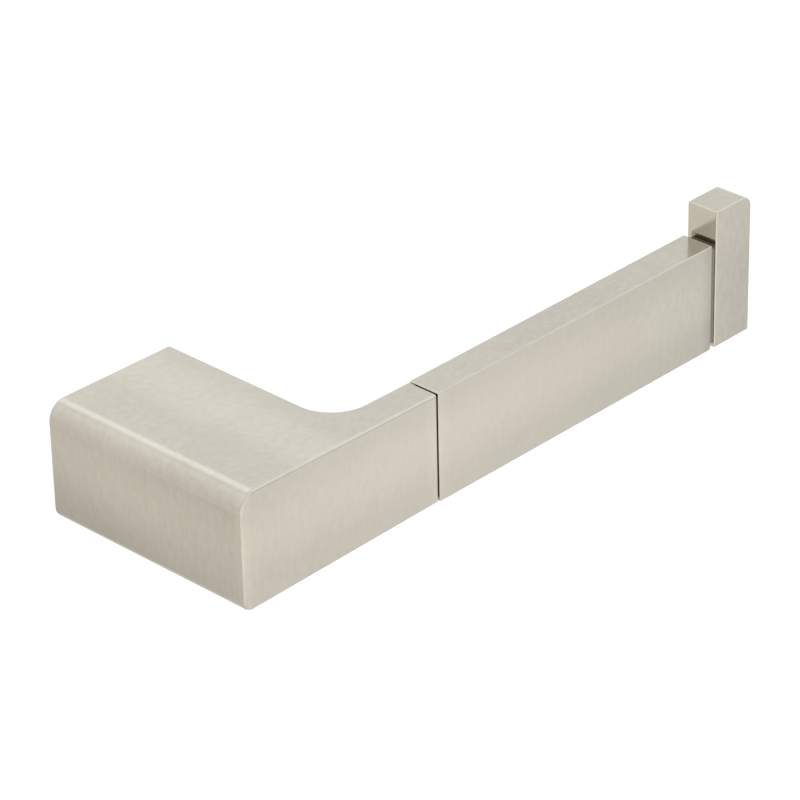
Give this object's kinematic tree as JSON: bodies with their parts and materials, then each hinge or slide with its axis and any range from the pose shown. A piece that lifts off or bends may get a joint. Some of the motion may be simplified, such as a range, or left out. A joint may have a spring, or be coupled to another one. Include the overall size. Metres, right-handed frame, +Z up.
{
  "type": "toilet paper holder",
  "caption": "Single-post wall-mounted toilet paper holder: a block base sweeping into a rectangular roll bar with an upright end stop.",
  "frame": {"origin": "centre of the base's back, on the wall's surface", "axes": "+X along the roll bar towards the end stop, +Y into the wall, +Z up"},
  "size_m": [0.1765, 0.063, 0.0385],
  "materials": {
    "satin_nickel": "satin nickel plating, fine brushed grain",
    "zinc_plated_steel": "bright zinc plated steel",
    "black_steel": "black oxide steel",
    "dark_nylon": "dark olive-brown moulded nylon",
    "grey_nylon": "warm grey moulded nylon",
    "natural_nylon": "natural off-white moulded nylon"
  },
  "bodies": {
    "holder": {"base_body": "satin_nickel", "wall_bracket": "zinc_plated_steel", "set_screw": "black_steel", "tie_rod": "zinc_plated_steel", "arm_lock_screw": "black_steel", "seam_spacer": "dark_nylon", "stop_spacer": "grey_nylon", "end_stop": "satin_nickel", "stop_lock_screw": "black_steel"},
    "bar": {"roll_bar": "satin_nickel", "inner_end_plug": "satin_nickel", "outer_end_plug": "satin_nickel", "inner_bearing": "natural_nylon", "outer_bearing": "natural_nylon"}
  },
  "joints": [
    {"name": "roll_bar_turn", "type": "hinge", "parent": "holder", "child": "bar", "pos_m": [0.0935, -0.0584, 0], "axis": [1, 0, 0], "continuous": true}
  ]
}
